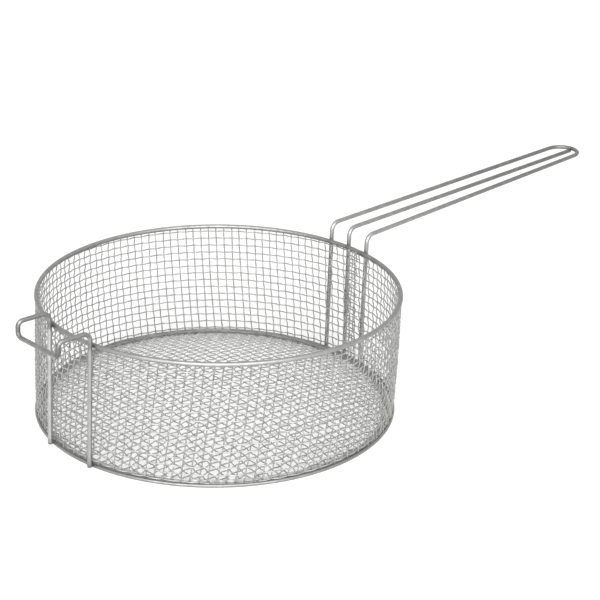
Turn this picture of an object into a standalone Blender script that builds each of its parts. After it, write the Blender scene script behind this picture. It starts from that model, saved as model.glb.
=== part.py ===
"""Deep fryer basket: a round basket of woven wire with a wire rim, a base ring,
a long handle of three wires on one side and a hanging hook on the other.

Run with: blender --background --python part.py
Metres, +Z up. The handle points along +X, the hook along -X, and the basket
stands on z = 0. The origin is the middle of the whole part's footprint.
"""

import math

import bmesh
import bpy
from mathutils import Matrix, Vector

# Wires and the clearance between pieces that touch
FRAME_WIRE = 0.0038
BASE_WIRE = 0.0028
MESH_WIRE = 0.0011
SEAT_GAP = 0.0003

# Basket
RIM_DIAMETER = 0.305
BASKET_HEIGHT = 0.106
FOOT_SHIFT = -0.004
RING_STEPS = 64
RIM_SIDES = 12
BASE_SIDES = 8

# Wall weave: coarse bars that stand for the fine wires, woven over and under
WALL_BARS = 30
WALL_ROWS = 5
BAR_WIDTH = 0.0024
BAR_EDGE_SHARE = 0.35
WEAVE_LIFT = 0.0004
WEAVE_LEAN = 0.085
LAP_ANGLE = -4.05
LAP_WIDTH = 0.014

# Floor weave, domed up inside the base ring, and its turned-up edge
FLOOR_RISE = 0.015
FLOOR_PITCH = 0.028
FLOOR_LIFT = 0.0003
HEM_WIDTH = 0.005
HEM_TOP = 0.0062
HEM_WIRE = 0.0013
HEM_EXTRA = 0.0002
HEM_OVERLAP = 0.0025
HEM_STEPS = 64

# Handle
HANDLE_LEG_ANGLE = 8.1
HANDLE_ROOT_HEIGHT = 0.1198
HANDLE_RISE_ANGLE = 2.8
HANDLE_LENGTH = 0.3134
LOOP_HALF_WIDTH = 0.0157
HANDLE_BEND = 0.0075
CENTRE_TIP_GAP = 0.0005

# Hook
HOOK_LEG_ANGLE = 9.8
HOOK_HEIGHT = 0.1144
HOOK_REACH = 0.0295
HOOK_DROP = 0.0122
HOOK_ROOT_BEND = 0.007
HOOK_TIP_BEND = 0.0045

LEG_END_HEIGHT = 0.0003
BEND_STEPS = 6
LOOP_STEPS = 9

STEEL_COLOUR = (0.52, 0.52, 0.52, 1.0)
STEEL_ROUGHNESS = 0.32

RIM_RADIUS = (RIM_DIAMETER - FRAME_WIRE) / 2
BASE_RADIUS = (RIM_DIAMETER - BASE_WIRE) / 2
WALL_RADIUS = RIM_RADIUS
RIM_CENTRE_HEIGHT = BASKET_HEIGHT - FRAME_WIRE / 2
LEG_RADIUS = RIM_DIAMETER / 2 + SEAT_GAP + FRAME_WIRE / 2
MESH_THICKNESS = 2 * MESH_WIRE


def clear_scene():
    for old in list(bpy.data.objects):
        bpy.data.objects.remove(old, do_unlink=True)


def leaning(point):
    """A point of the upright basket, moved as the real one leans: not at all at the
    rim's height, and by FOOT_SHIFT at the foot."""
    x, y, z = point
    return Vector((x + FOOT_SHIFT * (1 - z / RIM_CENTRE_HEIGHT), y, z))


def new_collection(name):
    made = bpy.data.collections.new(name)
    bpy.context.scene.collection.children.link(made)
    return made


def steel(name, colour=STEEL_COLOUR, roughness=STEEL_ROUGHNESS):
    """Bright tinned steel wire."""
    made = bpy.data.materials.new(name)
    made.use_nodes = True
    shader = made.node_tree.nodes["Principled BSDF"]
    shader.inputs["Base Color"].default_value = colour
    shader.inputs["Metallic"].default_value = 1.0
    shader.inputs["Roughness"].default_value = roughness
    made.diffuse_color = colour
    return made


def add_object(name, data, collection, parent=None):
    made = bpy.data.objects.new(name, data)
    made.parent = parent
    collection.objects.link(made)
    return made


def turned(name, profile, steps, collection, parent=None):
    """A closed profile of (radius, height) points, turned round the basket's axis."""
    shape = bmesh.new()
    corners = [shape.verts.new((radius, 0.0, height)) for radius, height in profile]
    for first, second in zip(corners, corners[1:] + corners[:1]):
        shape.edges.new((first, second))
    mesh = bpy.data.meshes.new(name)
    shape.to_mesh(mesh)
    shape.free()
    made = add_object(name, mesh, collection, parent)
    screw = made.modifiers.new("Turn", "SCREW")
    screw.angle = math.tau
    screw.steps = steps
    screw.render_steps = steps
    screw.use_merge_vertices = True
    screw.merge_threshold = 1e-5
    screw.use_smooth_shade = True
    return made


def wire_ring(name, radius, height, wire, sides, collection, parent):
    """A ring of round wire. Its section has a flat side underneath."""
    corner = wire / 2 / math.cos(math.pi / sides)
    turn = [math.tau * (step + 0.5) / sides for step in range(sides)]
    profile = [(radius - corner * math.sin(a), height + corner * math.cos(a)) for a in turn]
    return turned(name, profile[::-1], RING_STEPS, collection, parent)


def bent_path(corners, bends, steps):
    """Points along straight runs, with an arc of the given radius at each inner corner."""
    points = [Vector(corners[0])]
    for before, corner, after, radius, count in zip(corners, corners[1:], corners[2:], bends, steps):
        corner = Vector(corner)
        inward = (Vector(before) - corner).normalized()
        outward = (Vector(after) - corner).normalized()
        turn = math.pi - inward.angle(outward)
        setback = radius * math.tan(turn / 2)
        centre = corner + (inward + outward).normalized() * radius / math.cos(turn / 2)
        start = corner + inward * setback - centre
        axis = start.cross(corner + outward * setback - centre).normalized()
        for step in range(count + 1):
            points.append(centre + Matrix.Rotation(turn * step / count, 3, axis) @ start)
    points.append(Vector(corners[-1]))
    return points


def wire_along(name, points, wire, collection, parent):
    """Round wire along a line of points, with its ends cut square."""
    points = list(points)
    curve = bpy.data.curves.new(name, "CURVE")
    curve.dimensions = "3D"
    curve.bevel_depth = wire / 2
    curve.bevel_resolution = 2
    curve.use_fill_caps = True
    line = curve.splines.new("POLY")
    line.points.add(len(points) - 1)
    for spot, point in zip(line.points, points):
        spot.co = (*point, 1.0)
    line.use_smooth = True
    return add_object(name, curve, collection, parent)


def bar_lines(bars):
    """The two edges and the middle of each bar, from its (middle, half width)."""
    lines = []
    for middle, half in bars:
        lines += [middle - half, middle, middle + half]
    return lines


def woven_sheet(name, bars_u, bars_v, place, lift, wrap=None):
    """An open lattice sheet of crossing bars with a gap between each pair, each bar
    with a ridge along its middle, and lifted at alternate crossings. wrap is the
    length after which u closes on itself. place turns (u, v, lift) into a point."""
    lines_u = bar_lines(bars_u) + ([bars_u[0][0] - bars_u[0][1] + wrap] if wrap else [])
    lines_v = bar_lines(bars_v)
    sheet = bmesh.new()
    bmesh.ops.create_grid(sheet, x_segments=len(lines_u) - 1, y_segments=len(lines_v) - 1, size=0.5)
    column = {v: round((v.co.x + 0.5) * (len(lines_u) - 1)) for v in sheet.verts}
    row = {v: round((v.co.y + 0.5) * (len(lines_v) - 1)) for v in sheet.verts}
    open_faces = [
        face
        for face in sheet.faces
        if min(column[v] for v in face.verts) % 3 == 2 and min(row[v] for v in face.verts) % 3 == 2
    ]
    bmesh.ops.delete(sheet, geom=open_faces, context="FACES")
    ridge = []
    for v in sheet.verts:
        on_u, on_v = column[v] % 3 == 1, row[v] % 3 == 1
        over = 1 if (column[v] // 3 + row[v] // 3) % 2 else -1
        inner = 1 < row[v] < len(lines_v) - 2
        raised = over * lift if on_u and on_v and inner else 0.0
        v.co = place(lines_u[column[v]], lines_v[row[v]], raised)
        if on_u or on_v:
            ridge.append(v.co.copy().freeze())
    if wrap:
        bmesh.ops.remove_doubles(sheet, verts=sheet.verts, dist=1e-6)
    mesh = bpy.data.meshes.new(name)
    sheet.to_mesh(mesh)
    sheet.free()
    ridge = {tuple(round(c, 7) for c in co) for co in ridge}
    on_ridge = [v.index for v in mesh.vertices if tuple(round(c, 7) for c in v.co) in ridge]
    return mesh, on_ridge


def thicken(made, on_ridge, thickness):
    """Gives a lattice sheet its thickness, full on the ridges and less at the bars' edges."""
    group = made.vertex_groups.new(name="ridge")
    group.add(on_ridge, 1.0, "REPLACE")
    solid = made.modifiers.new("Thickness", "SOLIDIFY")
    solid.thickness = thickness
    solid.offset = 0.0
    solid.vertex_group = group.name
    solid.thickness_vertex_group = BAR_EDGE_SHARE


def rim_ring(collection, parent):
    return wire_ring("rim_ring", RIM_RADIUS, RIM_CENTRE_HEIGHT, FRAME_WIRE, RIM_SIDES, collection, parent)


def base_ring(collection, parent):
    made = wire_ring("base_ring", BASE_RADIUS, 0.0, BASE_WIRE, BASE_SIDES, collection, parent)
    made.location = leaning((0.0, 0.0, BASE_WIRE / 2))
    return made


def wall_mesh(collection, parent):
    """The woven wall, on the base ring and under the rim, with its lap beside the handle.
    Its upright wires lean a little, as the mesh was pulled round."""
    around = math.tau * WALL_RADIUS
    lap_at = math.radians(LAP_ANGLE) * WALL_RADIUS
    bars_u = [(lap_at, LAP_WIDTH / 2)]
    bars_u += [(lap_at + around * step / WALL_BARS, BAR_WIDTH / 2) for step in range(1, WALL_BARS)]
    low = BASE_WIRE + SEAT_GAP + BAR_WIDTH / 2
    high = RIM_CENTRE_HEIGHT - FRAME_WIRE / 2 - SEAT_GAP - BAR_WIDTH / 2
    bars_v = [(low + (high - low) * step / (WALL_ROWS - 1), BAR_WIDTH / 2) for step in range(WALL_ROWS)]

    def place(u, v, raised):
        angle, radius = (u + WEAVE_LEAN * v) / WALL_RADIUS, WALL_RADIUS + raised
        return leaning((radius * math.cos(angle), radius * math.sin(angle), v))

    mesh, on_ridge = woven_sheet("wall_mesh", bars_u, bars_v, place, WEAVE_LIFT, wrap=around)
    made = add_object("wall_mesh", mesh, collection, parent)
    thicken(made, on_ridge, MESH_THICKNESS)
    return made


def floor_mesh(collection, cutters, parent):
    """The woven floor, square to the handle, domed up and cut round, and joined to its
    turned-up edge. Its own z = 0 is the height of the base ring's middle."""
    flat_outer = BASE_RADIUS - BASE_WIRE / 2 - SEAT_GAP
    flat_inner = flat_outer - HEM_WIDTH
    upright_outer = WALL_RADIUS * math.cos(math.pi / WALL_BARS) - MESH_THICKNESS / 2 - SEAT_GAP
    upright_inner = upright_outer - HEM_WIRE
    half = (MESH_THICKNESS + HEM_EXTRA) / 2
    top = HEM_TOP - BASE_WIRE / 2
    count = math.ceil(flat_outer / FLOOR_PITCH - 0.5)
    bars = [(FLOOR_PITCH * (step + 0.5), BAR_WIDTH / 2) for step in range(-count - 1, count + 1)]

    def place(u, v, raised):
        dome = FLOOR_RISE * (1 - (u * u + v * v) / flat_outer**2)
        return Vector((u, v, dome + raised))

    mesh, on_ridge = woven_sheet("floor_mesh", bars, bars, place, FLOOR_LIFT)
    made = add_object("floor_mesh", mesh, collection, parent)
    thicken(made, on_ridge, MESH_THICKNESS)

    bpy.ops.mesh.primitive_cylinder_add(
        vertices=HEM_STEPS,
        radius=flat_inner + HEM_OVERLAP,
        depth=HEM_WIDTH + 3 * FLOOR_RISE,
    )
    disc = bpy.context.object
    disc.name = "floor_outline"
    hem_profile = [
        (upright_outer, top),
        (upright_outer, half),
        (flat_outer, half),
        (flat_outer, -half),
        (flat_inner, -half),
        (flat_inner, half),
        (upright_inner, half),
        (upright_inner, top),
    ]
    hem = turned("floor_edge", hem_profile, HEM_STEPS, cutters, parent)
    for helper, operation in ((disc, "INTERSECT"), (hem, "UNION")):
        move_to(helper, cutters)
        helper.parent = made
        helper.hide_render = True
        helper.display_type = "WIRE"
        cut = made.modifiers.new(helper.name, "BOOLEAN")
        cut.operation = operation
        cut.solver = "EXACT"
        cut.object = helper
    made.location = leaning((0.0, 0.0, BASE_WIRE / 2))
    return made


def move_to(made, collection):
    for old in list(made.users_collection):
        old.objects.unlink(made)
    collection.objects.link(made)


def handle_loop(collection, parent):
    """One wire: up the wall, out to the tip, round it and back down the wall."""
    angle = math.radians(HANDLE_LEG_ANGLE)
    leg_x, leg_y = LEG_RADIUS * math.cos(angle), LEG_RADIUS * math.sin(angle)
    tip_x, tip_z = handle_tip()
    side = [(leg_x, leg_y, LEG_END_HEIGHT), (leg_x, leg_y, HANDLE_ROOT_HEIGHT), (tip_x, LOOP_HALF_WIDTH, tip_z)]
    corners = side + [(x, -y, z) for x, y, z in reversed(side)]
    arm = Vector(side[2]) - Vector(side[1])
    turn = arm.angle(Vector((0.0, -1.0, 0.0)))
    tip_bend = LOOP_HALF_WIDTH / math.tan(turn / 2)
    bends = [HANDLE_BEND, tip_bend, tip_bend, HANDLE_BEND]
    points = bent_path(corners, bends, [BEND_STEPS, LOOP_STEPS, LOOP_STEPS, BEND_STEPS])
    return wire_along("handle_loop", map(leaning, points), FRAME_WIRE, collection, parent)


def handle_tip():
    """Where the middle line of the loop's end lies, as (x, z)."""
    rise = math.radians(HANDLE_RISE_ANGLE)
    return (
        LEG_RADIUS + HANDLE_LENGTH * math.cos(rise),
        HANDLE_ROOT_HEIGHT + HANDLE_LENGTH * math.sin(rise),
    )


def handle_centre_wire(collection, parent):
    """The middle wire, up the wall and out to the inside of the loop."""
    rise = math.radians(HANDLE_RISE_ANGLE)
    length = HANDLE_LENGTH - FRAME_WIRE / 2 - CENTRE_TIP_GAP
    tip = (LEG_RADIUS + length * math.cos(rise), 0.0, HANDLE_ROOT_HEIGHT + length * math.sin(rise))
    corners = [(LEG_RADIUS, 0.0, LEG_END_HEIGHT), (LEG_RADIUS, 0.0, HANDLE_ROOT_HEIGHT), tip]
    points = bent_path(corners, [HANDLE_BEND], [BEND_STEPS])
    return wire_along("handle_centre_wire", map(leaning, points), FRAME_WIRE, collection, parent)


def front_hook(collection, parent):
    """One wire: up the wall, out, down to the crossbar and back the same way."""
    angle = math.radians(HOOK_LEG_ANGLE)
    leg_x, leg_y = -LEG_RADIUS * math.cos(angle), LEG_RADIUS * math.sin(angle)
    side = [
        (leg_x, leg_y, LEG_END_HEIGHT),
        (leg_x, leg_y, HOOK_HEIGHT),
        (leg_x - HOOK_REACH, leg_y, HOOK_HEIGHT),
        (leg_x - HOOK_REACH, leg_y, HOOK_HEIGHT - HOOK_DROP),
    ]
    corners = side + [(x, -y, z) for x, y, z in reversed(side)]
    bends = [HOOK_ROOT_BEND, HOOK_TIP_BEND, HOOK_TIP_BEND]
    points = bent_path(corners, bends + bends[::-1], [BEND_STEPS] * 6)
    return wire_along("front_hook", map(leaning, points), FRAME_WIRE, collection, parent)


def centre_footprint(parent, pieces):
    """Moves the part along X, so that the origin is the middle of its footprint."""
    bpy.context.view_layer.update()
    graph = bpy.context.evaluated_depsgraph_get()
    spans = []
    for piece in pieces:
        shape = piece.evaluated_get(graph)
        mesh = shape.to_mesh()
        spans += [(shape.matrix_world @ v.co).x for v in mesh.vertices]
        shape.to_mesh_clear()
    parent.location.x -= (min(spans) + max(spans)) / 2


def build():
    clear_scene()
    basket = new_collection("deep_fryer_basket")
    cutters = new_collection("cutters")
    axis = add_object("basket_axis", None, basket)
    pieces = [
        rim_ring(basket, axis),
        base_ring(basket, axis),
        wall_mesh(basket, axis),
        floor_mesh(basket, cutters, axis),
        handle_loop(basket, axis),
        handle_centre_wire(basket, axis),
        front_hook(basket, axis),
    ]
    for piece in pieces:
        piece.data.materials.append(steel(piece.name + "_steel"))
    centre_footprint(axis, pieces)


if __name__ == "__main__":
    build()
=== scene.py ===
"""Deep fryer basket, dressed for a product photo.

Every wire of the basket is drawn at its real thickness over the CAD solids: the
crimped wires of the wall and floor, the two rings, the handle and the hook. The
same file is an add-on with a panel in the 3D view and a script that draws it all.
Lengths are in metres. The handle points along +X and the hook along -X.
"""

import math
import random

import bpy
from bpy.props import FloatProperty, FloatVectorProperty, IntProperty, PointerProperty
from mathutils import Matrix, Vector, noise


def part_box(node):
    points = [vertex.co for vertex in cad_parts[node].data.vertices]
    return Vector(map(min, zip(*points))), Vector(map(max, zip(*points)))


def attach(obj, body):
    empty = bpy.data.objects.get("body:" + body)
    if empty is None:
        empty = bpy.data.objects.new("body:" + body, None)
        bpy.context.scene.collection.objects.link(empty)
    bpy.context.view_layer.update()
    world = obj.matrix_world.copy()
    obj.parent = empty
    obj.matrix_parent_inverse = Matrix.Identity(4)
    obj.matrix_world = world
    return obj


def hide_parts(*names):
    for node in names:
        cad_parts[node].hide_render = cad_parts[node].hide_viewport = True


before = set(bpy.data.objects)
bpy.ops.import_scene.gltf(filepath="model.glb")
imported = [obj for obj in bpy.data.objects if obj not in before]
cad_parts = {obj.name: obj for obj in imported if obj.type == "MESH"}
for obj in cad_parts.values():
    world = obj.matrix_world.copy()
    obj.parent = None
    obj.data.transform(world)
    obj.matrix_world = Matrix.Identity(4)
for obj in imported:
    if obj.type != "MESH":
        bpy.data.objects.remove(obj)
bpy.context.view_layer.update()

bl_info = {
    "name": "Fryer basket",
    "version": (1, 0, 0),
    "blender": (4, 5, 0),
    "location": "3D View > Sidebar > Basket",
    "description": "Draws a woven wire fryer basket over its CAD solids, with a studio",
    "category": "Object",
}


def linear(code):
    """An sRGB colour written as #RRGGBB, as the linear colour that a shader takes."""
    parts = [int(code[i : i + 2], 16) / 255 for i in (1, 3, 5)]
    return (*[c / 12.92 if c <= 0.04045 else ((c + 0.055) / 1.055) ** 2.4 for c in parts], 1.0)


class BasketSizes(bpy.types.PropertyGroup):
    """What the wires of the basket measure, apart from what the CAD solids give"""

    mesh_wire: FloatProperty(
        name="Mesh wire",
        description="Thickness of the woven wire",
        default=0.0011,
        unit="LENGTH",
    )
    upright_count: IntProperty(
        name="Uprights",
        description="Wires that stand in the wall",
        default=134,
    )
    upright_lean: FloatProperty(
        name="Lean",
        description="How far the uprights lean at the foot, as a slope",
        default=0.115,
    )
    lean_loss: FloatProperty(
        name="Lean loss",
        description="How much of the lean is gone at the rim",
        default=0.05,
    )
    top_round: FloatProperty(
        name="Top round",
        description="Mean height of the wall's highest round wire",
        default=0.0993,
        unit="LENGTH",
    )
    round_pitch: FloatProperty(
        name="Round pitch",
        description="Step down from one round wire to the next",
        default=0.00673,
        unit="LENGTH",
    )
    round_count: IntProperty(
        name="Rounds",
        description="Wires that run round the wall",
        default=15,
    )
    floor_pitch_along: FloatProperty(
        name="Floor pitch, along",
        description="Distance between the floor's wires that run along the handle",
        default=0.00675,
        unit="LENGTH",
    )
    floor_pitch_across: FloatProperty(
        name="Floor pitch, across",
        description="Distance between the floor's wires that run across the handle",
        default=0.00708,
        unit="LENGTH",
    )
    floor_rise: FloatProperty(
        name="Floor rise",
        description="How far the floor is domed up",
        default=0.0155,
        unit="LENGTH",
    )
    wander: FloatProperty(
        name="Wander",
        description="How far a woven wire strays from its line",
        default=0.0005,
        unit="LENGTH",
    )
    bulge: FloatProperty(
        name="Bulge",
        description="How far the wall swells at half height",
        default=0.0008,
        unit="LENGTH",
    )
    lap_angle: FloatProperty(
        name="Lap",
        description="Where the ends of the wall's mesh lap",
        default=math.radians(-4.05),
        subtype="ANGLE",
    )
    lap_width: FloatProperty(
        name="Lap width",
        description="How far the ends of the wall's mesh lap",
        default=0.014,
        unit="LENGTH",
    )
    handle_rise: FloatProperty(
        name="Handle rise",
        description="Slope of the handle",
        default=math.radians(2.8),
        subtype="ANGLE",
    )
    loop_half_width: FloatProperty(
        name="Loop half width",
        description="Half the width of the handle's end",
        default=0.0157,
        unit="LENGTH",
    )
    handle_bend: FloatProperty(
        name="Handle bend",
        description="Radius where the handle leaves the wall",
        default=0.0075,
        unit="LENGTH",
    )
    hook_drop: FloatProperty(
        name="Hook drop",
        description="How far the hook's crossbar hangs down",
        default=0.0122,
        unit="LENGTH",
    )


class BasketFinish(bpy.types.PropertyGroup):
    """The colours of the basket's two kinds of wire"""

    frame_dull: FloatVectorProperty(
        name="Frame, dull",
        description="Thick wire where its tin has dulled",
        default=linear("#828281")[:3],
        subtype="COLOR",
        min=0.0,
        max=1.0,
    )
    frame_plain: FloatVectorProperty(
        name="Frame",
        description="Thick wire of the rings, handle and hook",
        default=linear("#8D8D8C")[:3],
        subtype="COLOR",
        min=0.0,
        max=1.0,
    )
    frame_bright: FloatVectorProperty(
        name="Frame, bright",
        description="Thick wire where it is rubbed",
        default=linear("#999998")[:3],
        subtype="COLOR",
        min=0.0,
        max=1.0,
    )
    mesh_dull: FloatVectorProperty(
        name="Mesh, dull",
        description="Fine wire where its tin has dulled",
        default=linear("#999998")[:3],
        subtype="COLOR",
        min=0.0,
        max=1.0,
    )
    mesh_plain: FloatVectorProperty(
        name="Mesh",
        description="Fine woven wire",
        default=linear("#ACACAB")[:3],
        subtype="COLOR",
        min=0.0,
        max=1.0,
    )
    mesh_bright: FloatVectorProperty(
        name="Mesh, bright",
        description="Fine wire where it is rubbed",
        default=linear("#BEBEBD")[:3],
        subtype="COLOR",
        min=0.0,
        max=1.0,
    )


# Sizes read from the solids


class Ring:
    """A wire ring of the frame: its middle, radius and wire, from its solid's box."""

    def __init__(self, node):
        low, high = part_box(node)
        self.wire = high.z - low.z
        self.middle = (low + high) / 2
        self.radius = (high.y - low.y - self.wire) / 2


RIM = Ring("rim_ring")
BASE = Ring("base_ring")

# The legs of the handle and the hook stand against the rings, seated this far off them
SEAT = 0.0003
LEG_RADIUS = RIM.radius + RIM.wire + SEAT


def sizes():
    """The sizes that the panel shows."""
    return bpy.context.scene.basket_sizes


def share_up(height):
    """How far up the wall a height lies: 0 at the base ring, 1 at the rim."""
    return (height - BASE.middle.z) / (RIM.middle.z - BASE.middle.z)


def axis_x(height):
    """Where the basket's axis runs: it leans a little from the rim to the foot."""
    return BASE.middle.x + (RIM.middle.x - BASE.middle.x) * share_up(height)


def placed(x, y, z):
    """A point measured from the basket's axis, as a point of the scene."""
    return Vector((axis_x(z) + x, y, z))


def at_angle(angle, radius, height):
    """A point at an angle round the basket's axis and at a distance from it."""
    return placed(radius * math.cos(angle), radius * math.sin(angle), height)


def around(point):
    """(distance from the basket's axis, angle round it) of a point."""
    x = point.x - axis_x(point.z)
    return math.hypot(x, point.y), math.atan2(point.y, x)


def wall_radius(height):
    """How far the wall stands from the axis: it swells a little between its rings."""
    share = min(1.0, max(0.0, share_up(height)))
    return RIM.radius + sizes().bulge * math.sin(math.pi * share)


# Materials

PER_METRE = 1000

# The lines of drawing are finer than 0.01 mm, too fine to show, so they are drawn about
# 0.2 mm wide and about 6 mm long. The tin's dull patches are about 6 mm across.
STREAKS_PER_MM = 5.2
STREAK_STRETCH = 0.03
STREAK_GRAIN = {"Detail": 3.0, "Roughness": 0.6}
PATCHES_PER_MM = 0.16
PATCH_GRAIN = {"Detail": 4.0, "Roughness": 0.65}
STREAK_SHARE = 0.4

# Where the mixed pattern is dull, plain and bright, and what that does to the gloss
FINISH_STOPS = (0.36, 0.5, 0.63)
GLOSS_STOPS = (0.35, 0.65)
DULL_ROUGHER = 0.08
BRIGHT_SMOOTHER = 0.06

# How rough each wire is, and how deep the lines of drawing are in it
FRAME_ROUGHNESS = 0.46
FRAME_SCRATCH = 0.00002
MESH_ROUGHNESS = 0.62
MESH_SCRATCH = 0.00001
SCRATCH_STRENGTH = 0.5


def add_node(tree, kind, settings=None, values=None, links=None):
    """Adds a node, sets its properties and inputs, and links its inputs."""
    made = tree.nodes.new(kind)
    for name, value in (settings or {}).items():
        setattr(made, name, value)
    for name, value in (values or {}).items():
        made.inputs[name].default_value = value
    for name, source in (links or {}).items():
        tree.links.new(source, made.inputs[name])
    return made


def drawn_wire(name, colours, roughness, scratch_depth):
    """Tinned steel wire. The lines of drawing run along it, and show as fine streaks
    in the gloss; the tin has gone duller in patches. The mesh's own tone darkens or
    lightens the steel from place to place: painted light and shade."""
    material = bpy.data.materials.new(name)
    material.use_nodes = True
    tree = material.node_tree
    shader = tree.nodes["Principled BSDF"]
    shader.inputs["Metallic"].default_value = 1.0
    along = add_node(tree, "ShaderNodeAttribute", {"attribute_name": "drawn"})
    stretched = add_node(
        tree,
        "ShaderNodeMapping",
        values={"Scale": (1.0, 1.0, STREAK_STRETCH)},
        links={"Vector": along.outputs["Vector"]},
    )
    streaks = add_node(
        tree,
        "ShaderNodeTexNoise",
        values={"Scale": STREAKS_PER_MM * PER_METRE, **STREAK_GRAIN},
        links={"Vector": stretched.outputs["Vector"]},
    )
    place = add_node(tree, "ShaderNodeTexCoord")
    patches = add_node(
        tree,
        "ShaderNodeTexNoise",
        values={"Scale": PATCHES_PER_MM * PER_METRE, **PATCH_GRAIN},
        links={"Vector": place.outputs["Object"]},
    )
    mixed = add_node(
        tree,
        "ShaderNodeMix",
        {"data_type": "FLOAT"},
        values={"Factor": STREAK_SHARE},
        links={"A": patches.outputs["Fac"], "B": streaks.outputs["Fac"]},
    )
    ramp = add_node(tree, "ShaderNodeValToRGB", links={"Fac": mixed.outputs["Result"]})
    marks = ramp.color_ramp.elements
    marks.new(FINISH_STOPS[1])
    for mark, position, colour in zip(marks, FINISH_STOPS, colours):
        mark.position = position
        mark.color = (*colour, 1.0)
    tone = add_node(tree, "ShaderNodeAttribute", {"attribute_name": "tone"})
    toned = add_node(
        tree,
        "ShaderNodeVectorMath",
        {"operation": "SCALE"},
        links={"Vector": ramp.outputs["Color"], "Scale": tone.outputs["Fac"]},
    )
    tree.links.new(toned.outputs["Vector"], shader.inputs["Base Color"])
    gloss = add_node(
        tree,
        "ShaderNodeMapRange",
        values={
            "From Min": GLOSS_STOPS[0],
            "From Max": GLOSS_STOPS[1],
            "To Min": roughness + DULL_ROUGHER,
            "To Max": roughness - BRIGHT_SMOOTHER,
        },
        links={"Value": mixed.outputs["Result"]},
    )
    tree.links.new(gloss.outputs["Result"], shader.inputs["Roughness"])
    bump = add_node(
        tree,
        "ShaderNodeBump",
        values={"Strength": SCRATCH_STRENGTH, "Distance": scratch_depth},
        links={"Height": streaks.outputs["Fac"]},
    )
    tree.links.new(bump.outputs["Normal"], shader.inputs["Normal"])
    return material


def frame_steel():
    """Tinned steel, drawn as thick wire: grey, with long soft highlights along it."""
    finish = bpy.context.scene.basket_finish
    colours = (finish.frame_dull, finish.frame_plain, finish.frame_bright)
    return drawn_wire("tinned_steel_wire", colours, FRAME_ROUGHNESS, FRAME_SCRATCH)


def mesh_steel():
    """Tinned steel, drawn as fine wire, crimped and woven: paler, with a flatter shine."""
    finish = bpy.context.scene.basket_finish
    colours = (finish.mesh_dull, finish.mesh_plain, finish.mesh_bright)
    return drawn_wire("woven_steel_wire", colours, MESH_ROUGHNESS, MESH_SCRATCH)


# Wires as meshes

FRAME_SIDES = 20
BASE_SIDES = 16
MESH_SIDES = 6
UP = (0, 0, 1)

# How far apart the wires of one mesh lie in the pattern of streaks, so that no two match
PATTERN_STEP_ALONG = 0.37
PATTERN_STEP_ACROSS = 0.011

STRAY_GAIN = 1.6
STRAY_SEED_STEP = 7.31
STRAY_PLANE = 0.5


def cross_sections(points, closed, up):
    """The side and upright direction at each point of a wire, without twist."""
    count = len(points)
    found = []
    upright = Vector(up)
    for i in range(count):
        before = points[i - 1] if i or closed else points[0]
        after = points[(i + 1) % count] if i < count - 1 or closed else points[-1]
        tangent = (after - before).normalized()
        upright = (upright - tangent * upright.dot(tangent)).normalized()
        found.append((tangent.cross(upright), upright.copy()))
    return found


def wires_mesh(name, wires, sides, tone, closed=False):
    """One mesh of round wires, each (points, radius, up). Their ends are cut square.
    It keeps, as "drawn", where each point lies in its wire's own section and length, and
    as "tone" how light the steel is there, which tone works out from a point."""
    corners, faces, flat, drawn, tones = [], [], [], [], []
    ring = [
        (math.cos(math.tau * k / sides), math.sin(math.tau * k / sides)) for k in range(sides)
    ]
    for number, (points, radius, up) in enumerate(wires):
        first = len(corners)
        length = number * PATTERN_STEP_ALONG
        for i, (side, upright) in enumerate(cross_sections(points, closed, up)):
            length += (points[i] - points[i - 1]).length if i else 0.0
            tones += [tone(points[i])] * sides
            for c, s in ring:
                corners.append(points[i] + (side * c + upright * s) * radius)
                drawn.append((c * radius, s * radius + number * PATTERN_STEP_ACROSS, length))
        spans = len(points) if closed else len(points) - 1
        total = len(points) * sides
        for i in range(spans):
            for k in range(sides):
                a, b = i * sides + k, i * sides + (k + 1) % sides
                faces.append([first + n % total for n in (a, b, b + sides, a + sides)])
        if not closed:
            flat += [len(faces), len(faces) + 1]
            faces.append([first + k for k in reversed(range(sides))])
            faces.append([first + total - sides + k for k in range(sides)])
    mesh = bpy.data.meshes.new(name)
    mesh.from_pydata(corners, [], faces)
    mesh.polygons.foreach_set("use_smooth", [True] * len(faces))
    for index in flat:
        mesh.polygons[index].use_smooth = False
    place = mesh.attributes.new("drawn", "FLOAT_VECTOR", "POINT")
    place.data.foreach_set("vector", [c for spot in drawn for c in spot])
    mesh.attributes.new("tone", "FLOAT", "POINT").data.foreach_set("value", tones)
    return mesh


def add_piece(name, mesh, material, node):
    """A piece of the basket, which stands for its CAD solid and goes with the body."""
    made = bpy.data.objects.new(name, mesh)
    bpy.context.scene.collection.objects.link(made)
    mesh.materials.append(material)
    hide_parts(node)
    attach(made, "root")


def bent_path(corners, bends, steps):
    """Points along straight runs, with an arc of the given radius at each inner corner."""
    points = [Vector(corners[0])]
    for before, corner, after, radius in zip(corners, corners[1:], corners[2:], bends):
        corner = Vector(corner)
        inward = (Vector(before) - corner).normalized()
        outward = (Vector(after) - corner).normalized()
        turn = math.pi - inward.angle(outward)
        setback = radius * math.tan(turn / 2)
        centre = corner + (inward + outward).normalized() * radius / math.cos(turn / 2)
        start = corner + inward * setback - centre
        axis = start.cross(corner + outward * setback - centre).normalized()
        for step in range(steps + 1):
            points.append(centre + Matrix.Rotation(turn * step / steps, 3, axis) @ start)
    points.append(Vector(corners[-1]))
    return points


def spaced(points, step):
    """The same line, with points no further apart than step."""
    found = [points[0]]
    for start, end in zip(points, points[1:]):
        count = max(1, math.ceil((end - start).length / step))
        found += [start.lerp(end, k / count) for k in range(1, count + 1)]
    return found


def stray(seed, position, scale):
    """A smooth seeded wobble between about -1 and 1."""
    spot = Vector((position / scale, seed * STRAY_SEED_STEP, STRAY_PLANE))
    return noise.noise(spot) * STRAY_GAIN


# How light the steel of the frame is from place to place: painted light and shade

# Painted shade round each weld: how far it reaches, and how dark it is at the middle
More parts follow.
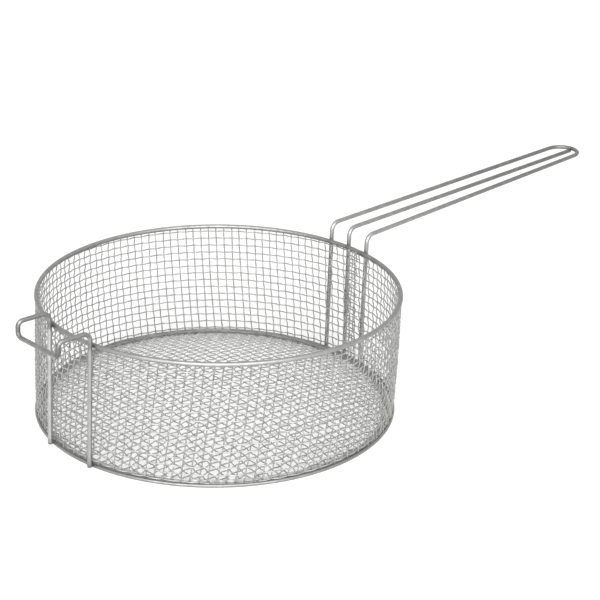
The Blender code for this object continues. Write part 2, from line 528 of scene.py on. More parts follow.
WELD_REACH = 0.0042
WELD_SHADE = 0.6
# Painted light along the handle's arms: the gain at the root and at the tip, and the share of the
# arm over which it fades
ARM_ROOT_GAIN = 1.28
ARM_TIP_GAIN = 0.82
ARM_FADE_SHARE = 0.62


def leg_places():
    """(x, y) from the axis of the five wires that stand against the wall."""
    found = [(LEG_RADIUS, 0.0)]
    for node, side in (("handle_loop", 1), ("front_hook", -1)):
        leg_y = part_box(node)[1].y - RIM.wire / 2
        leg_x = side * math.sqrt(LEG_RADIUS**2 - leg_y**2)
        found += [(leg_x, leg_y), (leg_x, -leg_y)]
    return found


def weld_places():
    """Where the legs are welded to the rim and to the base ring."""
    inward = 1 - RIM.wire / 2 / LEG_RADIUS
    return [
        placed(x * inward, y * inward, height)
        for height in (RIM.middle.z, BASE.middle.z)
        for x, y in leg_places()
    ]


def painted_frame_light(foot_gain=1.0, top_gain=1.0):
    """How light the steel is at a point, all of it painted light and shade: painted shade darkens
    it round each weld. Below the rim the tone of a leg goes from top_gain under the rim to
    foot_gain at the foot, as painted light. The handle is painted lighter at its root and darker
    towards its end."""
    places = weld_places()
    root_x = axis_x(RIM.middle.z) + LEG_RADIUS - RIM.wire / 2
    tip_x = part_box("handle_loop")[1].x

    def tone(point):
        nearest = min((point - place).length for place in places)
        # rubbed holds a painted light gain, not wear: on the legs below the rim and along the
        # handle's arms
        rubbed = 1.0
        if point.z < RIM.middle.z - RIM.wire:
            rubbed = foot_gain + (top_gain - foot_gain) * point.z / RIM.middle.z
        elif point.x > root_x:
            arm_share = min(1.0, (point.x - root_x) / (tip_x - root_x) / ARM_FADE_SHARE)
            rubbed = ARM_ROOT_GAIN + (ARM_TIP_GAIN - ARM_ROOT_GAIN) * arm_share
        return rubbed * (1 - (1 - WELD_SHADE) * math.exp(-((nearest / WELD_REACH) ** 2)))

    return tone


# The rings

RING_STEPS = 360
RIM_SAG = 0.0008
RIM_TILT = 0.0012
RIM_LOW_SIDE = math.radians(235)
# Painted highlight: how much lighter the rim is painted on two opposite sides, and where
RIM_GAIN = 0.2
RIM_BRIGHT_SIDE = math.radians(248)


def draw_ring(name, ring, sides, sag=0.0, tilt=0.0, gain=0.0):
    """A wire ring, pressed down by sag and tilted by tilt. gain paints it lighter on two
    opposite sides: a painted highlight. Round the welds it is painted darker: painted shade."""
    points = []
    for step in range(RING_STEPS):
        angle = math.tau * step / RING_STEPS
        x, y = ring.radius * math.cos(angle), ring.radius * math.sin(angle)
        lowered = sag + tilt * math.cos(angle - RIM_LOW_SIDE)
        points.append(ring.middle + Vector((x, y, -lowered)))
    painted_light = painted_frame_light()

    def tone(point):
        angle = math.atan2(point.y, point.x - ring.middle.x)
        return painted_light(point) * (1 + gain * math.cos(angle - RIM_BRIGHT_SIDE) ** 2)

    mesh = wires_mesh(name, [(points, ring.wire / 2, UP)], sides, tone, closed=True)
    add_piece(name, mesh, frame_steel(), name)


# The handle and the hook. The roots of the handle are bent a little aside, and the
# middle wire droops, as on the basket in the photo.

ROOT_SHIFT = 0.0015
MIDDLE_SHIFT = 0.0031
MIDDLE_DROP = 0.0018
# Painted light on the handle's legs below the rim: the gain at the foot and under the rim
HANDLE_FOOT_GAIN = 1.5
HANDLE_TOP_GAIN = 0.9
HANDLE_ARC_STEPS = 20
HANDLE_STEP = 0.003

HOOK_FOOT_GAP = 0.0012
HOOK_ROOT_BEND = 0.007
HOOK_TIP_BEND = 0.0045
# Painted light on the hook's legs, more on one leg, and painted shade on its short drops
HOOK_LEG_GAIN = 1.22
HOOK_BRIGHT_LEG = 1.25
HOOK_DROP_TONE = 0.62
HOOK_ARC_STEPS = 16
HOOK_STEP = 0.002


def draw_bent_wire(name, node, path, step, up, tone):
    """One thick wire of the frame along a bent path, measured from the basket's axis."""
    points = spaced([placed(*point) for point in path], step)
    mesh = wires_mesh(name, [(points, RIM.wire / 2, up)], FRAME_SIDES, tone)
    add_piece(name, mesh, frame_steel(), node)


def arm_line(high, end_gap, leg_x):
    """(height where a wire of the handle leaves its leg, x and height of its end), for an
    end that lies end_gap inside the far corner of its solid's box."""
    rise = sizes().handle_rise
    tip_z = high.z - RIM.wire / 2 * math.cos(rise)
    tip_x = high.x - end_gap - axis_x(tip_z)
    return tip_z - (tip_x - leg_x) * math.tan(rise), tip_x, tip_z


def draw_handle_loop():
    """The outer wire of the handle: up the wall, out, round the end and back."""
    low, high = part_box("handle_loop")
    radius = RIM.wire / 2
    leg_y = high.y - radius
    leg_x = math.sqrt(LEG_RADIUS**2 - leg_y**2)
    root_z, tip_x, tip_z = arm_line(high, radius, leg_x)
    half = sizes().loop_half_width
    corners = [
        (leg_x, leg_y, low.z),
        (leg_x, leg_y + ROOT_SHIFT, root_z),
        (tip_x, half, tip_z),
        (tip_x, -half, tip_z),
        (leg_x, ROOT_SHIFT - leg_y, root_z),
        (leg_x, -leg_y, low.z),
    ]
    arm = Vector(corners[2]) - Vector(corners[1])
    tip_bend = half / math.tan(arm.angle(Vector((0.0, -1.0, 0.0))) / 2)
    root_bend = sizes().handle_bend
    path = bent_path(corners, [root_bend, tip_bend, tip_bend, root_bend], HANDLE_ARC_STEPS)
    tone = painted_frame_light(HANDLE_FOOT_GAIN, HANDLE_TOP_GAIN)
    draw_bent_wire("handle_loop_wire", "handle_loop", path, HANDLE_STEP, (-1, 0, 0), tone)


def draw_handle_centre():
    """The middle wire of the handle, welded to the inside of the loop."""
    node = "handle_centre_wire"
    low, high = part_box(node)
    root_z, tip_x, tip_z = arm_line(high, -SEAT, LEG_RADIUS)
    corners = [
        (LEG_RADIUS, 0.0, low.z),
        (LEG_RADIUS, MIDDLE_SHIFT, root_z),
        (tip_x, 0.0, tip_z - MIDDLE_DROP),
    ]
    path = bent_path(corners, [sizes().handle_bend], HANDLE_ARC_STEPS)
    tone = painted_frame_light(HANDLE_FOOT_GAIN, HANDLE_TOP_GAIN)
    draw_bent_wire("handle_middle_wire", node, path, HANDLE_STEP, (-1, 0, 0), tone)


def draw_hook():
    """One wire: up the wall, out, down to the crossbar and back the same way."""
    low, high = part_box("front_hook")
    radius = RIM.wire / 2
    leg_y = high.y - radius
    leg_x = -math.sqrt(LEG_RADIUS**2 - leg_y**2)
    foot_z = low.z + HOOK_FOOT_GAP
    top_z = high.z - radius
    bar_z = top_z - sizes().hook_drop
    out_x = low.x + radius - axis_x(bar_z)
    side = [
        (leg_x, leg_y, foot_z),
        (leg_x, leg_y, top_z),
        (out_x, leg_y, top_z),
        (out_x, leg_y, bar_z),
    ]
    corners = side + [(x, -y, z) for x, y, z in reversed(side)]
    bends = [HOOK_ROOT_BEND, HOOK_TIP_BEND, HOOK_TIP_BEND]
    path = bent_path(corners, bends + bends[::-1], HOOK_ARC_STEPS)
    painted_light = painted_frame_light(HOOK_LEG_GAIN, HOOK_LEG_GAIN)
    far_x = low.x + RIM.wire

    def tone(point):
        """The short drops to the crossbar are painted darker: painted shade. The legs are
        painted lighter, and one of the two legs more than the other: painted light."""
        if point.x < far_x and leg_y - abs(point.y) < radius and point.z < top_z - radius:
            return HOOK_DROP_TONE
        bright = point.y > 0 and point.z < RIM.middle.z - RIM.wire
        return painted_light(point) * (HOOK_BRIGHT_LEG if bright else 1.0)

    draw_bent_wire("hook_wire", "front_hook", path, HOOK_STEP, (1, 0, 0), tone)


# How light the steel of the mesh is from place to place: painted light and shade

# Painted light and shade on the mesh, by side and height: the near side, the uprights' darkening
# there and under the rim, the rounds' lightening, the far side's darkening, and the foot's
# darkening with its height
NEAR_SIDE = math.radians(225)
UPRIGHT_LOSS = 0.15
UPRIGHT_TOP_LOSS = 0.17
ROUND_GAIN = 0.08
FAR_LOSS = 0.04
FOOT_REACH = 0.006
FOOT_LOSS = 0.06


def facing(angle):
    """From 1 on the near side, towards the camera, to 0 on the far side. The mesh's
    painted light and shade follow it."""
    return (1 + math.cos(angle - NEAR_SIDE)) / 2


def foot_share(height):
    """1 at the foot of the wall, 0 a little above the base ring."""
    return max(0.0, 1 - max(0.0, height - FOOT_REACH) / FOOT_REACH)


def upright_tone(point):
    """The uprights are painted darker on the near side, most of all under the rim, and a little on
    the far side and at the foot: painted shade.
    """
    front = facing(around(point)[1])
    rise = (point.z / RIM.middle.z) ** 2
    # dull is painted shade, not a dulled finish
    dull = 1 - front**2 * (UPRIGHT_LOSS + UPRIGHT_TOP_LOSS * rise)
    return dull * (1 - FAR_LOSS * (1 - front)) * (1 - FOOT_LOSS * foot_share(point.z))


def round_tone(point):
    """The rounds are painted lighter, most of all on the near side, and darker on the far side and
    at the foot: painted light and shade.
    """
    front = facing(around(point)[1])
    # bright is painted light on the near side
    bright = 1 + ROUND_GAIN * front
    return bright * (1 - FAR_LOSS * (1 - front)) * (1 - FOOT_LOSS * foot_share(point.z))


# The woven wall

STEPS_PER_CROSSING = 4
FEWEST_POINTS = 4

# Where the weave ends, in thicknesses of the ring's wire from the middle of the ring
FOOT_END = 0.7
RIM_END = 0.1

UPRIGHT_SEED = 40
UPRIGHT_WANDER_LENGTH = 0.05

# How the rows of the wall lie: drawn in to its middle height or spread from it, by these
# shares, then lifted and waved
ROW_SHRINK = 0.0095
ROW_SPREAD = 0.0185
ROW_SPREAD_SIDE = math.radians(60)
ROW_LIFT = 0.0005
TILT_WAVE = 0.0017
TILT_SIDE = math.radians(67)
SADDLE_WAVE = 0.0019
SADDLE_TURN = math.radians(74)
ROW_WANDER_SHARE = 0.5
ROW_WANDER_LENGTH = 0.055

# The lap of the wall's two ends. Its depth and crimp are in thicknesses of the wire, its
# row shift in pitches, and its uprights and cut ends in halves of its width.
LAP_SLIP = 0.002
LAP_ROW_SHIFT = 0.48
LAP_DEPTH = 1.3
LAP_CRIMP = 0.3
LAP_UPRIGHTS = (-0.62, 0.05, 0.71)
LAP_UPRIGHT_SEED = 90
LAP_WANDER = 1.6
LAP_WANDER_LENGTH = 0.03
LAP_ROUND_SEED = 23
LAP_END_SPREAD = (0.85, 1.25)
LAP_TILT_SPREAD = (0.03, 0.11)
LAP_ROUND_STEPS = 8


def round_height(row, angle):
    """The height of a round wire. The mesh was pulled out of true as it was bent round, so
    its rows rise and dip, and lie closer together on the side of the hook."""
    settings = sizes()
    middle = (RIM.middle.z + BASE.middle.z) / 2
    level = settings.top_round - settings.round_pitch * row
    spread = 1 - ROW_SHRINK + ROW_SPREAD * math.cos(angle - ROW_SPREAD_SIDE)
    tilt = TILT_WAVE * math.cos(angle - TILT_SIDE)
    saddle = SADDLE_WAVE * math.cos(2 * angle + SADDLE_TURN)
    small = settings.wander * ROW_WANDER_SHARE
    small *= stray(row + 1, angle * RIM.radius, ROW_WANDER_LENGTH)
    return middle + (level - middle) * spread + ROW_LIFT + (tilt + saddle) + small


def crimp(wire, place):
    """How far a wire stands out where it crosses others, from +1 to -1. wire is its
    number, and place counts the wires that it has crossed."""
    crossed = math.floor(place)
    sign = 1 if (wire + crossed) % 2 else -1
    return sign * math.cos(math.pi * (place - crossed))


def leant(angle, height):
    """The angle that an upright wire, which starts at angle on the base ring, has reached
    at this height. It leans less and less as it rises."""
    settings = sizes()
    full = RIM.middle.z - BASE.middle.z
    up = height - BASE.middle.z
    return angle + up * (settings.upright_lean - settings.lean_loss * up / full / 2) / RIM.radius


def wall_span():
    """Heights between which the wall is woven: from above the base ring into the rim."""
    return BASE.middle.z + BASE.wire * FOOT_END, RIM.middle.z - RIM.wire * RIM_END


def upright_wire(number, angle):
    """One wire of the wall from the rim to the base ring, over and under the rounds."""
    settings = sizes()
    low, high = wall_span()
    points = []
    steps = STEPS_PER_CROSSING * (settings.round_count + 1)
    for k in range(steps + 1):
        height = high + (low - high) * k / steps
        wander = stray(number + UPRIGHT_SEED, height, UPRIGHT_WANDER_LENGTH)
        turn = leant(angle, height) + settings.wander * wander / RIM.radius
        place = (round_height(0, turn) - height) / settings.round_pitch
        out = crimp(number, place) * settings.mesh_wire / 2
        points.append(at_angle(turn, wall_radius(height) + out, height))
    return points


def round_wires(row, pitch):
    """One wire once round the wall, under and over the uprights. It comes in several
    pieces where its row runs into the rim or the base ring."""
    settings = sizes()
    low, high = wall_span()
    steps = settings.upright_count * STEPS_PER_CROSSING
    pieces, points = [], []
    for k in range(steps + 1):
        angle = settings.lap_angle + math.tau * k / steps
        height = round_height(row, angle)
        if not low < height < high:
            pieces.append(points)
            points = []
            continue
        foot = 2 * angle - leant(angle, height)
        place = (foot - settings.lap_angle) / pitch
        out = -crimp(row, place) * settings.mesh_wire / 2
        points.append(at_angle(angle, wall_radius(height) + out, height))
    pieces.append(points)
    return [piece for piece in pieces if len(piece) >= FEWEST_POINTS]


def wall_wires():
    """(uprights, rounds) of the wall: the mesh once round."""
    settings = sizes()
    wire = settings.mesh_wire / 2
    pitch = math.tau / settings.upright_count
    uprights, rounds = [], []
    for number in range(settings.upright_count):
        angle = settings.lap_angle + pitch * number
        up = (math.cos(angle), math.sin(angle), 0)
        uprights.append((upright_wire(number, angle), wire, up))
    for row in range(-1, settings.round_count + 1):
        rounds += [(piece, wire, UP) for piece in round_wires(row, pitch)]
    return uprights, rounds


def lap_slip(height):
    """The angle by which the second layer has slipped aside at a height."""
    low, high = wall_span()
    return LAP_SLIP * (height - low) / (high - low) / RIM.radius


def lap_radius(height):
    """How far the second layer of the wall's mesh stands from the axis, inside the first."""
    return wall_radius(height) - LAP_DEPTH * sizes().mesh_wire


def lap_uprights():
    """The uprights of the second layer, where the two ends of the wall's mesh lie over
    each other."""
    settings = sizes()
    half = settings.lap_width / 2 / RIM.radius
    low, high = wall_span()
    up = (math.cos(settings.lap_angle), math.sin(settings.lap_angle), 0)
    steps = STEPS_PER_CROSSING * settings.round_count
    uprights = []
    for number, share in enumerate(LAP_UPRIGHTS):
        points = []
        for k in range(steps + 1):
            height = high + (low - high) * k / steps
            wander = settings.wander * LAP_WANDER
            wander *= stray(number + LAP_UPRIGHT_SEED, height, LAP_WANDER_LENGTH)
            turn = settings.lap_angle + share * half + lap_slip(height) + wander / RIM.radius
            place = (round_height(0, turn) - height) / settings.round_pitch + LAP_ROW_SHIFT
            out = crimp(number, place) * settings.mesh_wire / 2
            points.append(at_angle(turn, lap_radius(height) + out, height))
        uprights.append((points, settings.mesh_wire / 2, up))
    return uprights


def lap_rounds():
    """The rounds of the second layer, half a row off the first, with their cut ends bare."""
    settings = sizes()
    half = settings.lap_width / 2 / RIM.radius
    low, high = wall_span()
    chance = random.Random(LAP_ROUND_SEED)
    rounds = []
    for row in range(settings.round_count):
        back, ahead = [half * chance.uniform(*LAP_END_SPREAD) for _ in range(2)]
        tilt = chance.uniform(*LAP_TILT_SPREAD)
        points = []
        for k in range(LAP_ROUND_STEPS + 1):
            turn = settings.lap_angle - back + (back + ahead) * k / LAP_ROUND_STEPS
            height = round_height(row, turn) - settings.round_pitch * LAP_ROW_SHIFT
            slip = lap_slip(height)
            height += tilt * (turn - settings.lap_angle) * RIM.radius
            if not low < height < high:
                continue
            out = settings.mesh_wire * LAP_CRIMP * math.cos(math.pi * (k / 2 + row))
            points.append(at_angle(turn + slip, lap_radius(height) + out, height))
        if len(points) >= FEWEST_POINTS:
            rounds.append((points, settings.mesh_wire / 2, UP))
    return rounds


def draw_wall():
    """The woven wall, with the lap of its two ends."""
    uprights, rounds = wall_wires()
    steel = mesh_steel()
    mesh = wires_mesh("wall_uprights", uprights + lap_uprights(), MESH_SIDES, upright_tone)
    add_piece("wall_uprights", mesh, steel, "wall_mesh")
    mesh = wires_mesh("wall_rounds", rounds + lap_rounds(), MESH_SIDES, round_tone)
    add_piece("wall_rounds", mesh, steel, "wall_mesh")


# The woven floor

# How far the dome is lifted on the far side and flattened in its middle, as shares
DOME_SLANT = 0.32
DOME_FLATTENING = 0.3

# The floor's sheet turns up this far inside the wall, and its cut ends reach up to
# FOLD_ENDS past that
FOLD_GAP = 0.0024
FOLD = RIM.radius - FOLD_GAP
FOLD_BEND = 0.0015
FOLD_ENDS = 0.0028

FLOOR_SKEW_ALONG = -0.038
FLOOR_SKEW_ACROSS = -0.062
FLOOR_WANDER_SHARE = 0.5
FLOOR_WANDER_LENGTH = 0.06
FEWEST_STEPS = 8
FEWEST_FLOOR_POINTS = 6

# (piece, runs across the handle, seed of its cut ends, seed of its wander)
FLOOR_LAYERS = (
    ("floor_wires_along", False, 5, 600),
    ("floor_wires_across", True, 11, 400),
)

# The rolled edge: a bundle of wires with an oval section, in the foot of the wall
HEM_POINTS = 240
HEM_WIRES = 9
HEM_HEIGHT = 0.0027
HEM_INSET = 0.0028
HEM_HALF_WIDTH = 0.001
HEM_HALF_HEIGHT = 0.00165
HEM_SEED_STEP = 1.7
HEM_HEIGHT_WANDER = 0.0004

# Wires beside the bundle, flat on the floor, which spread out on the far side
FLAT_WIRES = 5
FLAT_PITCH = 0.0013
FLAT_GAP = 0.0017
FLAT_LIFT = 0.9
FLAT_SEED_STEP = 2.3
SPREAD_START = -0.5
SPREAD_LENGTH = 0.7

EDGE_WANDER = 0.0003
EDGE_WANDER_SCALE = 2.4
HEIGHT_WANDER_SCALE = 3.1

# Painted light and shade: on the rolled edge, on the band next to it, and a painted reflection that
# lightens the floor towards the far side
HEM_NEAR_TONE = 1.14
HEM_FAR_LOSS = 0.43
BAND_WIDTH = 0.0085
BAND_FAR_WIDTH = 0.0155
BAND_BLEND = 0.003
FAR_LIGHT_GAIN = 0.75
FAR_LIGHT_START = 0.3


def dome(x, y):
    """How far the floor stands above the base ring. Its highest part lies a little to
    the far side, and it is flatter in the middle than a bowl would be."""
    reach = RIM.radius - BASE.wire / 2
    share = (x * x + y * y) / reach**2
    if share >= 1:
        return 0.0
    slant = (x + y) / reach * DOME_SLANT
    return sizes().floor_rise * (1 - share) * (1 + slant + DOME_FLATTENING * share)


def folded(u, v, out):
    """A point of the flat floor sheet, as the sheet is pressed into the basket: domed in
    the ring, and turned up the wall past the ring. out is off the sheet, upwards."""
    reach = math.hypot(u, v)
    level = BASE.middle.z
    if reach <= FOLD - FOLD_BEND:
        return placed(u, v, level + dome(u, v) + out)
    over = reach - (FOLD - FOLD_BEND)
    turn = min(over / FOLD_BEND, math.pi / 2)
    radius = FOLD - FOLD_BEND + (FOLD_BEND - out) * math.sin(turn)
    height = level + dome(u, v) + out + (FOLD_BEND - out) * (1 - math.cos(turn))
    height += max(0.0, over - FOLD_BEND * math.pi / 2)
    return placed(u / reach * radius, v / reach * radius, height)


def floor_point(along, across):
    """Where two wires of the floor cross: the mesh lies a little askew."""
    a, b = FLOOR_SKEW_ACROSS, FLOOR_SKEW_ALONG
    det = math.cos(a) * math.cos(b) + math.sin(a) * math.sin(b)
    x = (along * math.cos(b) - across * math.sin(a)) / det
    y = (across * math.cos(a) + along * math.sin(b)) / det
    return x, y


def floor_wires(crosswise, end_seed, wander_seed):
    """The floor's wires one way: along X, or along Y where crosswise."""
    settings = sizes()
    pitches = (settings.floor_pitch_along, settings.floor_pitch_across)
    pitch, crossing_pitch = reversed(pitches) if crosswise else pitches
    sign = -1 if crosswise else 1
    reach = FOLD + FOLD_ENDS
    count = int(reach / pitch)
    chance = random.Random(end_seed)
    found = []
    for number in range(-count, count + 1):
        offset = pitch * number
        span = math.sqrt(reach**2 - offset**2)
        steps = max(FEWEST_STEPS, round(2 * span / crossing_pitch * STEPS_PER_CROSSING))
        trims = [chance.uniform(0.0, 1.0), chance.uniform(0.0, 1.0)]
        points = []
        for k in range(steps + 1):
            run = span * (2 * k / steps - 1)
            out = sign * crimp(number, run / crossing_pitch) * settings.mesh_wire / 2
            wander = settings.wander * FLOOR_WANDER_SHARE
            wander *= stray(number + wander_seed, run, FLOOR_WANDER_LENGTH)
            across = offset + wander
            u, v = floor_point(across, run) if crosswise else floor_point(run, across)
            if math.hypot(u, v) < FOLD + FOLD_ENDS * trims[run > 0]:
                points.append(folded(u, v, out))
        if len(points) >= FEWEST_FLOOR_POINTS:
            found.append((points, settings.mesh_wire / 2, UP))
    return found


def edge_wire(seed, inset_at, height_at, height_wander):
    """A wire that runs round the floor's edge. inset_at gives how far inside the wall it
    lies at an angle, and height_at its height at an angle and a radius."""
    points = []
    for step in range(HEM_POINTS):
        angle = math.tau * step / HEM_POINTS
        run = Vector((math.cos(angle), math.sin(angle), seed)) * EDGE_WANDER_SCALE
        radius = RIM.radius - inset_at(angle) + EDGE_WANDER * noise.noise(run)
        height = height_at(angle, radius) + height_wander * noise.noise(run * HEIGHT_WANDER_SCALE)
        points.append(at_angle(angle, radius, height))
    return points, sizes().mesh_wire / 2, UP


def hem_wires():
    """The wires of the floor's edge, which is rolled up on itself inside the foot of the
    wall: they run round in a flattened bundle."""
    found = []
    for number in range(HEM_WIRES):
        turn = math.tau * number / HEM_WIRES
        inset = HEM_INSET + HEM_HALF_WIDTH * math.cos(turn)
        height = HEM_HEIGHT + HEM_HALF_HEIGHT * math.sin(turn)
        found.append(
            edge_wire(
                number * HEM_SEED_STEP,
                lambda angle, inset=inset: inset,
                lambda angle, radius, height=height: height,
                HEM_HEIGHT_WANDER,
            )
        )
    return found


def flat_height(angle, radius):
    """The height of a wire that lies on the domed floor."""
    rise = dome(radius * math.cos(angle), radius * math.sin(angle))
    return BASE.middle.z + rise + sizes().mesh_wire * FLAT_LIFT


def flat_wires():
    """The wires beside the rolled edge, close together on the near side and spread out on
    the far side."""

    def inset(angle, number):
        spread = min(1.0, max(0.0, (1 - 2 * facing(angle) - SPREAD_START) / SPREAD_LENGTH))
        return HEM_INSET + FLAT_GAP + FLAT_PITCH * number * spread

    return [
        edge_wire(
            number * FLAT_SEED_STEP,
            lambda angle, number=number: inset(angle, number),
            flat_height,
            EDGE_WANDER,
        )
        for number in range(FLAT_WIRES)
    ]


def hem_tone(point):
    """The rolled edge is painted lighter on the near side and darker on the far side: painted light
    and shade.
    """
    return HEM_NEAR_TONE - HEM_FAR_LOSS * (1 - facing(around(point)[1]))


def floor_tone(point):
    """The floor is painted brighter towards the far side, a painted reflection, and takes the
    painted tone of its rolled edge next to it."""
    reach, angle = around(point)
    far = 1 - 2 * facing(angle)
    inner = RIM.radius - BAND_WIDTH - BAND_FAR_WIDTH * max(0.0, far) ** 2
    edge = min(1.0, max(0.0, (reach - inner) / BAND_BLEND))
    # Painted reflection: the floor is lighter towards the far side
    painted_far_light = 1 + FAR_LIGHT_GAIN * max(0.0, reach / RIM.radius * far - FAR_LIGHT_START)
    return painted_far_light + (hem_tone(point) - painted_far_light) * edge


def draw_floor():
    """The woven floor and its rolled edge."""
    steel = mesh_steel()
    edge = hem_wires() + flat_wires()
    mesh = wires_mesh("floor_edge_wires", edge, MESH_SIDES, hem_tone, closed=True)
    add_piece("floor_edge_wires", mesh, steel, "floor_mesh")
    for name, *layer in FLOOR_LAYERS:
        mesh = wires_mesh(name, floor_wires(*layer), MESH_SIDES, floor_tone)
        add_piece(name, mesh, steel, "floor_mesh")


# The studio

# The camera, as it was found from the outlines in the photo: its angles in radians, its
# focal length and its picture in pixels, and its sensor in millimetres
CAMERA_PLACE = (-0.95378, -0.93789, 0.59721)
CAMERA_YAW = 0.8041
CAMERA_PITCH = 0.3858
CAMERA_ROLL = 0.0238
CAMERA_FOCUS = 1601.89
FRAME_WIDTH = 600
SENSOR = 36.0
CLIP_NEAR = 0.05
CLIP_FAR = 50.0

WORLD_LIGHT = 0.56
SEEN_WHITE = 1.0
WHITE = linear("#FFFFFF")

TABLE_REACH = 1.75
TABLE_SIDES = 96
TABLE_DROP = 0.0002
TABLE_COLOUR = "#DEDEDE"
TABLE_ROUGHNESS = 0.9

# How strongly the table glows to the eye, from one distance from its middle to another
GLOW_REACH = (0.35, 1.5)
GLOW = (0.37, 0.62)

# (name, place to the camera's right, away from it and up, size, watts)
LAMPS = (
    ("camera_softbox", (0.0, -1.4, 1.0), (2.4, 1.5), 46.0),
    ("low_softbox", (0.0, -1.5, 0.14), (1.8, 0.8), 9.0),
)


def camera_axes():
    """(right, up, forward) of the camera."""
    flat = math.cos(CAMERA_PITCH)
    forward = Vector(
        (math.cos(CAMERA_YAW) * flat, math.sin(CAMERA_YAW) * flat, -math.sin(CAMERA_PITCH))
    )
    right = forward.cross(Vector(UP)).normalized()
    up = right.cross(forward)
    c, s = math.cos(CAMERA_ROLL), math.sin(CAMERA_ROLL)
    return right * c + up * s, up * c - right * s, forward


def draw_camera():
    """The camera, where the photo was taken from."""
    right, up, forward = camera_axes()
    data = bpy.data.cameras.new("photo_camera")
    data.sensor_width = SENSOR
    data.lens = CAMERA_FOCUS / FRAME_WIDTH * SENSOR
    data.clip_start = CLIP_NEAR
    data.clip_end = CLIP_FAR
    made = bpy.data.objects.new("photo_camera", data)
    turn = Matrix((right, up, -forward)).transposed().to_4x4()
    made.matrix_world = Matrix.Translation(Vector(CAMERA_PLACE)) @ turn
    bpy.context.scene.collection.objects.link(made)
    bpy.context.scene.camera = made


def seen_directly(tree):
    """1 where the camera, a mirror or glass looks at this surface, otherwise 0."""
    path = add_node(tree, "ShaderNodeLightPath")
    found = path.outputs["Is Camera Ray"]
    for name in ("Is Glossy Ray", "Is Transmission Ray"):
        settings = {"operation": "MAXIMUM"}
        joined = add_node(tree, "ShaderNodeMath", settings, links={0: found, 1: path.outputs[name]})
        found = joined.outputs["Value"]
    return found


def draw_world():
    """Soft light from all sides, and plain white where it is seen."""
    world = bpy.data.worlds.new("studio")
    bpy.context.scene.world = world
    world.use_nodes = True
    tree = world.node_tree
    tree.nodes.clear()
    light, white = [
        add_node(tree, "ShaderNodeBackground", values={"Color": WHITE, "Strength": strength})
        for strength in (WORLD_LIGHT, SEEN_WHITE)
    ]
    mix = add_node(
        tree,
        "ShaderNodeMixShader",
        links={"Fac": seen_directly(tree), 1: light.outputs[0], 2: white.outputs[0]},
    )
    add_node(tree, "ShaderNodeOutputWorld", links={"Surface": mix.outputs[0]})


def table_paper():
    """Matt white paper: it takes the basket's soft shadow. To the eye it glows a little,
    and more towards its edge, so that it meets the white around it."""
    material = bpy.data.materials.new("studio_paper")
    material.use_nodes = True
    tree = material.node_tree
    shader = tree.nodes["Principled BSDF"]
    shader.inputs["Base Color"].default_value = linear(TABLE_COLOUR)
    shader.inputs["Roughness"].default_value = TABLE_ROUGHNESS
    shader.inputs["Emission Color"].default_value = WHITE
    place = add_node(tree, "ShaderNodeTexCoord")
    reach = add_node(
        tree,
        "ShaderNodeVectorMath",
        {"operation": "LENGTH"},
        links={"Vector": place.outputs["Object"]},
    )
    rise = add_node(
        tree,
        "ShaderNodeMapRange",
        values={
            "From Min": GLOW_REACH[0],
            "From Max": GLOW_REACH[1],
            "To Min": GLOW[0],
            "To Max": GLOW[1],
        },
        links={"Value": reach.outputs["Value"]},
    )
    glow = add_node(
        tree,
        "ShaderNodeMath",
        {"operation": "MULTIPLY"},
        links={0: seen_directly(tree), 1: rise.outputs["Result"]},
    )
    tree.links.new(glow.outputs["Value"], shader.inputs["Emission Strength"])
    return material


def draw_table():
    """The pale round table that the basket stands on."""
    turns = [math.tau * k / TABLE_SIDES for k in range(TABLE_SIDES)]
    ring = [(TABLE_REACH * math.cos(turn), TABLE_REACH * math.sin(turn), 0.0) for turn in turns]
    mesh = bpy.data.meshes.new("studio_floor")
    mesh.from_pydata(ring, [], [range(TABLE_SIDES)])
    made = bpy.data.objects.new("studio_floor", mesh)
    made.location.z = -TABLE_DROP
    bpy.context.scene.collection.objects.link(made)
    mesh.materials.append(table_paper())


def draw_lamp(name, place, size, power):
    """A softbox that shines on the middle of the basket. Its place is measured from there:
    to the camera's right, away from the camera along the table, and up."""
    right, away, up = place
    sideways, _, forward = camera_axes()
    level = Vector((forward.x, forward.y, 0)).normalized()
    across = Vector((sideways.x, sideways.y, 0)).normalized()
    target = Vector((RIM.middle.x, RIM.middle.y, RIM.middle.z / 2))
    spot = target + across * right + level * away + Vector((0, 0, up))
    data = bpy.data.lights.new(name, "AREA")
    data.shape = "RECTANGLE"
    data.size, data.size_y = size
    data.energy = power
    made = bpy.data.objects.new(name, data)
    made.location = spot
    made.rotation_euler = (target - spot).to_track_quat("-Z", "Y").to_euler()
    made.visible_camera = False
    bpy.context.scene.collection.objects.link(made)


def draw_studio():
    """The camera, the world, the table and the lamps."""
    bpy.context.scene.view_settings.view_transform = "Standard"
    draw_camera()
    draw_world()
    draw_table()
    for lamp in LAMPS:
        draw_lamp(*lamp)


# The add-on


class BASKET_OT_rings(bpy.types.Operator):
    """Draw the rim and the base ring"""

    bl_idname = "basket.rings"
    bl_label = "Rings"

    def execute(self, context):
        draw_ring("rim_ring", RIM, FRAME_SIDES, RIM_SAG, RIM_TILT, RIM_GAIN)
        draw_ring("base_ring", BASE, BASE_SIDES)
        return {"FINISHED"}


class BASKET_OT_handle(bpy.types.Operator):
    """Draw the three wires of the handle"""

    bl_idname = "basket.handle"
    bl_label = "Handle"

    def execute(self, context):
        draw_handle_loop()
        draw_handle_centre()
        return {"FINISHED"}


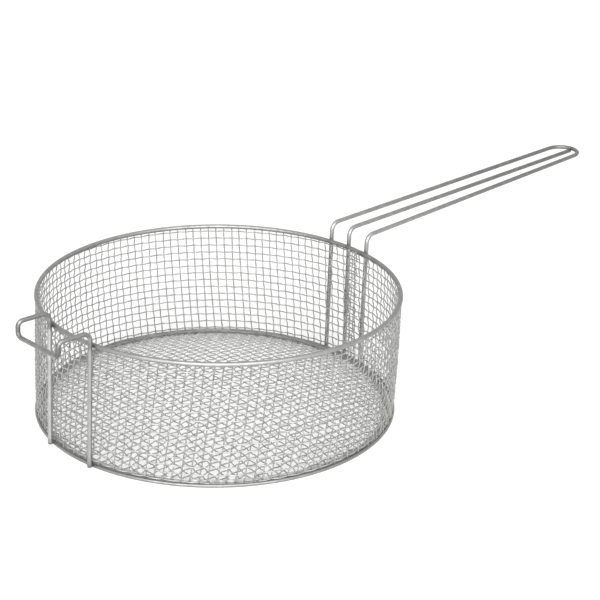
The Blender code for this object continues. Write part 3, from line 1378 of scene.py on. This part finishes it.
class BASKET_OT_hook(bpy.types.Operator):
    """Draw the hanging hook"""

    bl_idname = "basket.hook"
    bl_label = "Hook"

    def execute(self, context):
        draw_hook()
        return {"FINISHED"}


class BASKET_OT_wall(bpy.types.Operator):
    """Weave the wall, with its lap"""

    bl_idname = "basket.wall"
    bl_label = "Wall"

    def execute(self, context):
        draw_wall()
        return {"FINISHED"}


class BASKET_OT_floor(bpy.types.Operator):
    """Weave the floor, with its rolled edge"""

    bl_idname = "basket.floor"
    bl_label = "Floor"

    def execute(self, context):
        draw_floor()
        return {"FINISHED"}


class BASKET_OT_studio(bpy.types.Operator):
    """Set up the camera, the table and the lights"""

    bl_idname = "basket.studio"
    bl_label = "Studio"

    def execute(self, context):
        draw_studio()
        return {"FINISHED"}


OPERATORS = (
    BASKET_OT_rings,
    BASKET_OT_handle,
    BASKET_OT_hook,
    BASKET_OT_wall,
    BASKET_OT_floor,
    BASKET_OT_studio,
)


class BASKET_PT_panel(bpy.types.Panel):
    """The basket's sizes and colours, and the buttons that draw it"""

    bl_label = "Fryer basket"
    bl_idname = "BASKET_PT_panel"
    bl_space_type = "VIEW_3D"
    bl_region_type = "UI"
    bl_category = "Basket"

    def draw(self, context):
        column = self.layout.column(align=True)
        for group in (context.scene.basket_sizes, context.scene.basket_finish):
            for name in type(group).__annotations__:
                column.prop(group, name)
        column = self.layout.column(align=True)
        for operator in OPERATORS:
            column.operator(operator.bl_idname)


CLASSES = (BasketSizes, BasketFinish, *OPERATORS, BASKET_PT_panel)


def register():
    for kind in CLASSES:
        bpy.utils.register_class(kind)
    bpy.types.Scene.basket_sizes = PointerProperty(type=BasketSizes)
    bpy.types.Scene.basket_finish = PointerProperty(type=BasketFinish)


def unregister():
    del bpy.types.Scene.basket_finish
    del bpy.types.Scene.basket_sizes
    for kind in reversed(CLASSES):
        bpy.utils.unregister_class(kind)


def main():
    register()
    bpy.ops.basket.rings()
    bpy.ops.basket.handle()
    bpy.ops.basket.hook()
    bpy.ops.basket.wall()
    bpy.ops.basket.floor()
    bpy.ops.basket.studio()


if __name__ == "__main__":
    main()
